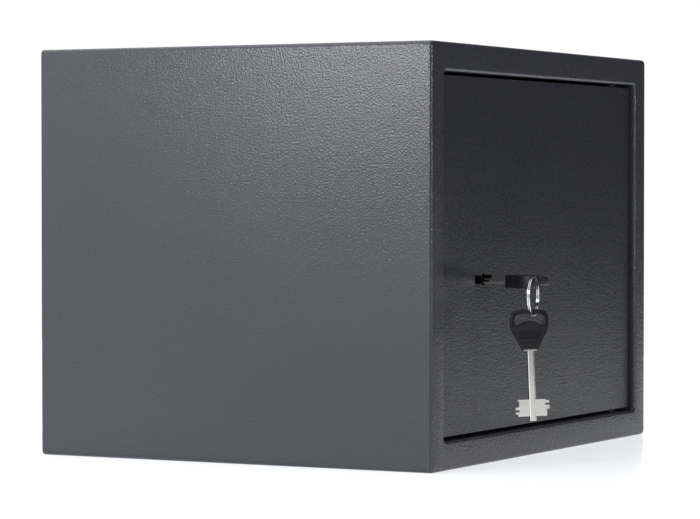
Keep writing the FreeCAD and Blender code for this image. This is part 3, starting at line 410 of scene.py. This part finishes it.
def shell_path():
    """(inset, depth from the front, corner radius) along the folded sheet's section, in mm."""
    deep = (wrap_high.y - border_low.y) / MM
    lip_end = (border_high.y - border_low.y) / MM
    lip_back = RIM_WIDE - SHEET
    path = [(0, deep, OUTER_CORNER)]
    for step in range(5):
        angle = math.radians(90 * step / 4)
        inset = EDGE_BEND * (1 - math.cos(angle))
        path.append((inset, EDGE_BEND * (1 - math.sin(angle)), OUTER_CORNER - inset))
    path.append((RIM_WIDE - LIP_BEND, 0, OPENING_CORNER + LIP_BEND))
    for step in range(1, 7):
        angle = math.radians(90 * step / 6)
        path.append((RIM_WIDE - LIP_BEND + LIP_BEND * math.sin(angle),
                     LIP_BEND * (1 - math.cos(angle)),
                     OPENING_CORNER + LIP_BEND * (1 - math.sin(angle))))
    back_corner = OPENING_CORNER + SHEET
    inner_corner = OUTER_CORNER - SHEET
    path += [(RIM_WIDE, lip_end - LIP_BREAK, OPENING_CORNER),
             (RIM_WIDE - LIP_BREAK, lip_end, OPENING_CORNER + LIP_BREAK),
             (lip_back + LIP_BREAK, lip_end, back_corner - LIP_BREAK),
             (lip_back, lip_end - LIP_BREAK, back_corner),
             (lip_back, SHEET, back_corner), (SHEET, SHEET, inner_corner),
             (SHEET, deep, inner_corner)]
    return path


def cabinet_shell():
    """Wrap, border and drawn lip as one continuous welded and ground shell."""
    half_wide = wrap_high.x / MM
    half_tall = wrap_high.z / MM / 2
    loops = []
    for inset, depth, radius in shell_path():
        outline = rounded_rectangle(half_wide - inset, half_tall - inset, radius)
        loops.append([(x * MM, border_low.y + depth * MM, (z + half_tall) * MM)
                      for x, z in outline])
    points, faces = bridge(loops, closed=True)
    shell = link_mesh("cabinet_shell", points, faces)
    holes = [prism("anchor_cut", circle_outline(ANCHOR_RADIUS), -5, 5, "xyz",
                   (side * ANCHOR_SIDE, 0)) for side in (-1, 1)]
    cut_out(shell, *holes)
    smooth_by_angle(shell, 35)
    put_on(shell, "cabinet", "cabinet_paint", PAINT, "body_wrap", "front_frame")


def floor_mat():
    """Needle felt mat with soft edges, lying a little unevenly, and two punched holes."""
    wide, long = mat_high.x - mat_low.x, mat_high.y - mat_low.y
    thick = mat_high.z - mat_low.z
    middle = (mat_low + mat_high) / 2
    columns, rows = 64, 50
    edge = 0.8 * MM
    wave_height = 0.07 * MM
    wave_room = 0.12 * MM
    calm_border = 10 * MM

    def level(x, y):
        """Height of the felt's upper face, with shallow waves and rounded borders."""
        wave = (math.sin(x * 61 + 1.3) * math.sin(y * 47 + 0.6)
                + 0.5 * math.sin(x * 143 + y * 119))
        away = min(wide / 2 - abs(x), long / 2 - abs(y))
        fall = 0 if away > edge else edge - math.sqrt(max(edge ** 2 - (edge - away) ** 2, 0))
        return thick - wave_room - fall + wave_height * wave * min(away / calm_border, 1)

    def spread(number, count, size):
        """Grid lines that crowd together at both borders."""
        shares = ([0, 0.0008, 0.0020] + [i / (count - 6) for i in range(1, count - 6)]
                  + [0.9980, 0.9992, 1])
        return (shares[number] - 0.5) * size

    across = [spread(i, columns + 1, wide) for i in range(columns)]
    along = [spread(i, rows + 1, long) for i in range(rows)]
    points = [(middle.x + x, middle.y + y, mat_low.z + level(x, y)) for y in along for x in across]
    points += [(middle.x + x, middle.y + y, mat_low.z) for y in along for x in across]
    under = columns * rows
    faces = []
    for row in range(rows - 1):
        for column in range(columns - 1):
            here = row * columns + column
            faces.append((here, here + 1, here + columns + 1, here + columns))
            faces.append((under + here, under + here + columns,
                          under + here + columns + 1, under + here + 1))
    border = list(range(columns))
    border += [row * columns + columns - 1 for row in range(1, rows)]
    border += [(rows - 1) * columns + i for i in range(columns - 2, -1, -1)]
    border += [row * columns for row in range(rows - 2, 0, -1)]
    for index, here in enumerate(border):
        there = border[(index + 1) % len(border)]
        faces.append((here, here + under, there + under, there))
    mat = link_mesh("felt_floor_mat", points, faces, 50)
    cut_out(mat, *[prism("mat_cut", circle_outline(MAT_HOLE_RADIUS), -1, 9, "xyz",
                         (side * ANCHOR_SIDE, 0)) for side in (-1, 1)])
    smooth_by_angle(mat, 50)
    put_on(mat, "cabinet", "felt", FELT, "floor_mat")


# ---- keys ------------------------------------------------------------------------
# A key's own frame has its tip at the origin and its bow at -Y, like the real key laid flat.
# "v" below is the distance in mm from the bow's outer end towards the blade.

BOW_OUTLINE = ((0, 0), (4.2, 0.08), (7.6, 0.6), (9.9, 2.4), (10.62, 5.4), (10.62, 8.6),
               (9.9, 12.0), (8.1, 15.3), (6.4, 18.5), (5.2, 21.2), (4.3, 21.95), (2.2, 22.0),
               (0, 22.0))
BOW_SLOT = ((0, 2.35), (3.5, 2.45), (6.4, 2.8), (7.9, 3.9), (8.2, 5.9), (7.7, 7.9), (6.6, 8.5),
            (4.9, 8.1), (3.2, 7.1), (1.6, 6.5), (0, 6.35))
BOW_EYE = Vector((0, 5.0))
GRIP_V = 13.9
GRIP_DEEP = 0.95
RIB_PITCH = 1.22
RIDGES = ((4.1, 17.9), (3.9, 19.0))


def mirrored(half):
    """A closed outline from its right half, listed from the top middle to the bottom middle."""
    return list(half) + [(-x, v) for x, v in reversed(half[1:-1])]


def bow_half_thickness(v):
    """Half the bow's thickness: thin at its outer end, thick from the grip on."""
    share = min(max((v - 1.0) / 7.0, 0), 1)
    return 2.1 + 1.4 * share * share * (3 - 2 * share)


def ray_hit(line, direction):
    """Where a ray from the bow's eye leaves a closed line."""
    best = None
    for index, start in enumerate(line):
        run = line[(index + 1) % len(line)] - start
        across = direction.x * run.y - direction.y * run.x
        if abs(across) < 1e-9:
            continue
        offset = start - BOW_EYE
        reach = (offset.x * run.y - offset.y * run.x) / across
        share = (offset.x * direction.y - offset.y * direction.x) / across
        if reach > 0 and -1e-6 <= share <= 1 + 1e-6 and (best is None or reach > best):
            best = reach
    return best


def bow_levels(reach):
    """(distance along the ray, drop below the face) from the slot's wall to the outer wall."""
    wall, lip, panel = 0.45, 0.7, 0.26
    rim, slope = 0.75, 0.95
    border = 1.45
    levels = []
    for step in range(4):
        angle = math.radians(90 * step / 3)
        levels.append((wall * (1 - math.cos(angle)), wall * (1 - math.sin(angle))))
    levels += [(rim, 0), (slope, panel)]
    inner, outer = slope, reach - border
    for step in range(1, 8):
        levels.append((inner + (outer - inner) * step / 8, panel))
    levels += [(outer, panel), (outer + 0.22, 0)]
    for step in range(5):
        angle = math.radians(90 * (1 - step / 4))
        levels.append((reach - lip * (1 - math.cos(angle)), lip * (1 - math.sin(angle))))
    return levels


def bow_plate():
    """The bow's moulding: rounded outline, slot, taper, and a raised border around its faces."""
    outer = smooth_line(mirrored(BOW_OUTLINE))
    inner = smooth_line(mirrored(BOW_SLOT), 12)
    columns = []
    for point in outer:
        direction = (point - BOW_EYE).normalized()
        start = ray_hit(inner, direction)
        reach = (point - BOW_EYE).length - start
        column = []
        for side in (1, -1):
            run = []
            for distance, drop in bow_levels(reach):
                place = BOW_EYE + direction * (start + distance)
                run.append((place.x, place.y, side * (bow_half_thickness(place.y) - drop)))
            column += run if side == 1 else run[::-1]
        columns.append(column)
    loops = [[(x * MM, (v - KEY_LONG) * MM, z * MM) for x, v, z in column]
             for column in columns]
    points, faces = bridge(loops, closed=True)
    return link_mesh("bow_plate", points, faces, 40)


def bar(name, half_long, half_wide, height, middle, level, along="x"):
    """A small raised bar with a rounded top and ends, lying on a face at a level."""
    loops = []
    up = 1 if level > 0 else -1
    root = 0.5 * MM
    for step in range(5):
        angle = math.radians(90 * step / 4)
        shrink = half_wide * (1 - math.cos(angle)) * 0.8
        rise = height * math.sin(angle)
        sides = (half_long - shrink, half_wide - shrink)
        if along == "y":
            sides = sides[::-1]
        outline = rounded_rectangle(*sides, (half_wide - shrink) * 0.9, 3)
        loops.append([((middle[0] + x) * MM, (middle[1] + y - KEY_LONG) * MM,
                       (level + up * rise) * MM) for x, y in outline])
    base = [(x, y, z - up * root) for x, y, z in loops[0]]
    points, faces = bridge([base] + loops, caps=True)
    return link_mesh(name, points, faces, 40)


def key_bow(name):
    """A finished bow in the key's own frame: ribbed grips and two ridges on both faces."""
    plate = bow_plate()
    face = bow_half_thickness(15)
    grips = [prism("grip_cut", rounded_rectangle(6.1, 2.1, 1.6), side * (face - GRIP_DEEP),
                   side * (face + 1), "xyz", (0, GRIP_V - KEY_LONG)) for side in (1, -1)]
    cut_out(plate, *grips)
    smooth_by_angle(plate, 40)
    details = [plate]
    for side in (1, -1):
        for number in range(9):
            reach = 1.75 if abs(number - 4) < 4 else 1.3
            details.append(bar("rib", reach, 0.30, 0.62, ((number - 4) * RIB_PITCH, GRIP_V),
                               side * (face - GRIP_DEEP - 0.02), "y"))
        for half_long, v in RIDGES:
            details.append(bar("ridge", half_long, 0.30, 0.45, (0, v), side * (face - 0.28)))
    return join(name, details)


def place_keys():
    """The bow on the key in the lock, and the bow on the spare key that hangs tip down."""
    bow = key_bow("key_bow_moulding")
    bow.matrix_world = Matrix.Translation((KEY_X, blade_high.y, KEY_Z))
    put_on(bow, "key", "black_plastic", BLACK, "key_bow")
    spare = key_bow("spare_key_bow_moulding")
    turn = (Matrix.Rotation(SPARE_TURN, 4, "Z") @ Matrix.Rotation(-math.pi / 2, 4, "X")
            @ Matrix.Rotation(SPARE_LEAN, 4, "Z"))
    spare_tip = Matrix.Translation((RING_MIDDLE.x, RING_MIDDLE.y, spare_tip_z))
    spare.data.transform(spare_tip @ turn)
    put_on(spare, "spare_key", "black_plastic", BLACK, "spare_key_bow")


def split_ring():
    """Two close turns of flattened wire that cross over at one place."""
    radius, wire, lane = 10.45, 0.44, 0.44
    cross = 0.055  # half the crossing's share of a turn
    steps = 260
    along = Vector((math.cos(RING_TURN), math.sin(RING_TURN), 0))
    axis = Vector((-along.y, along.x, 0))
    up = Vector((0, 0, 1))
    crossing = math.radians(-118)
    loops = []
    for step in range(steps + 1):
        turn = cross + (2 - 2 * cross) * step / steps
        share = min(max((turn - 1) / (2 * cross) + 0.5, 0), 1)
        side = lane * (2 * share * share * (3 - 2 * share) - 1)
        angle = crossing + WHOLE_TURN * turn
        outward = along * math.cos(angle) + up * math.sin(angle)
        centre = RING_MIDDLE + outward * radius * MM + axis * side * MM
        taper = min(1, 0.55 + 0.45 * min(step, steps - step) / 4)
        outline = rounded_rectangle(wire * 1.05 * taper, (wire - 0.03) * taper, 0.26 * taper, 3)
        loops.append([centre + outward * x * MM + axis * y * MM for x, y in outline])
    points, faces = bridge(loops, caps=True)
    ring = link_mesh("split_ring", points, faces, 60)
    put_on(ring, "key_ring", "nickel", RING_STEEL, "key_ring")


cabinet_shell()
floor_mat()
place_keys()
split_ring()


# ---- studio ----------------------------------------------------------------------

def studio_floor():
    """Large pale sheet just under the safe, lit from below like a product table."""
    half = 0.95
    corners = [(-half, -half, 0), (half, -half, 0), (half, half, 0), (-half, half, 0)]
    floor = link_mesh("studio_floor", corners, [(0, 1, 2, 3)])
    floor.location.z = -0.05 * MM
    material, nodes, links, shader = new_material("floor_acrylic")
    mottle = texture(nodes, links, "ShaderNodeTexNoise", Scale=3.0, Detail=2.0)
    tint = ramp(nodes, links, mottle.outputs["Fac"],
                ((0.3, (0.50, 0.51, 0.52)), (0.7, (0.52, 0.53, 0.54))))
    links.new(tint.outputs["Color"], shader.inputs["Base Color"])
    shader.inputs["Roughness"].default_value = 0.22
    shader.inputs["Emission Color"].default_value = (0.97, 0.98, 1.0, 1)
    shader.inputs["Emission Strength"].default_value = 0.655
    floor.data.materials.append(material)


def area_light(name, place, target, size, power):
    """A white softbox aimed at a point."""
    data = bpy.data.lights.new(name, "AREA")
    data.shape = "RECTANGLE"
    data.size, data.size_y = size
    data.energy = power
    light = bpy.data.objects.new(name, data)
    bpy.context.scene.collection.objects.link(light)
    light.location = place
    aim = Vector(target) - Vector(place)
    light.rotation_euler = aim.to_track_quat("-Z", "Y").to_euler()


def studio_world():
    """Room that is bright behind the safe and dark in front of it, on a plain white backdrop.

    The brightness changes with direction, along one line, and the camera sees only the backdrop.
    """
    world = bpy.data.worlds.new("studio")
    bpy.context.scene.world = world
    world.use_nodes = True
    nodes, links = world.node_tree.nodes, world.node_tree.links
    sky = nodes["Background"]
    place = nodes.new("ShaderNodeTexCoord")
    split = nodes.new("ShaderNodeVectorMath")
    split.operation = "DOT_PRODUCT"
    to_dark_end = Vector((0.23, -0.973, 0.0)).normalized()
    split.inputs[1].default_value = to_dark_end
    links.new(place.outputs["Generated"], split.inputs[0])
    share = nodes.new("ShaderNodeMapRange")
    share.inputs["From Min"].default_value = -1
    links.new(split.outputs["Value"], share.inputs["Value"])
    shade = ramp(nodes, links, share.outputs["Result"],
                 ((0.0, (0.94, 0.96, 1.00)), (0.30, (0.89, 0.91, 1.00)),
                  (0.43, (0.50, 0.51, 0.56)), (0.53, (0.22, 0.22, 0.25)),
                  (0.65, (0.040, 0.040, 0.047))))
    links.new(shade.outputs["Color"], sky.inputs["Color"])
    sky.inputs["Strength"].default_value = 2.0
    backdrop = nodes.new("ShaderNodeBackground")
    backdrop.inputs["Color"].default_value = (1.0, 1.0, 1.0, 1)
    backdrop.inputs["Strength"].default_value = 1.02
    seen = nodes.new("ShaderNodeLightPath")
    choice = nodes.new("ShaderNodeMixShader")
    links.new(seen.outputs["Is Camera Ray"], choice.inputs["Fac"])
    links.new(sky.outputs["Background"], choice.inputs[1])
    links.new(backdrop.outputs["Background"], choice.inputs[2])
    links.new(choice.outputs["Shader"], nodes["World Output"].inputs["Surface"])


def make_camera():
    """Long lens 1.8 m away at the front left, a little above the safe's middle."""
    data = bpy.data.cameras.new("camera")
    data.sensor_width = 36.0
    data.lens = 156.3
    data.clip_start, data.clip_end = 0.05, 50
    camera = bpy.data.objects.new("camera", data)
    bpy.context.scene.collection.objects.link(camera)
    camera.location = (-1.6118, -0.8482, 0.1545)
    yaw, pitch = math.radians(62.14), math.radians(1.377)
    aim = Vector((math.sin(yaw) * math.cos(pitch), math.cos(yaw) * math.cos(pitch),
                  -math.sin(pitch)))
    camera.rotation_euler = aim.to_track_quat("-Z", "Y").to_euler()
    bpy.context.scene.camera = camera


studio_floor()
studio_world()
area_light("side_softbox", (-0.70, 0.05, 0.42), (-0.15, -0.10, 0.22), (0.30, 0.22), 2.6)
area_light("ceiling_softbox", (0.0, 0.0, 2.2), (0, 0, 0), (2.4, 2.4), 16)
area_light("front_lamp", (-0.05, -1.30, 0.34), (-0.08, -0.12, 0.09), (0.16, 0.16), 5)
make_camera()
bpy.context.scene.view_settings.view_transform = "Standard"
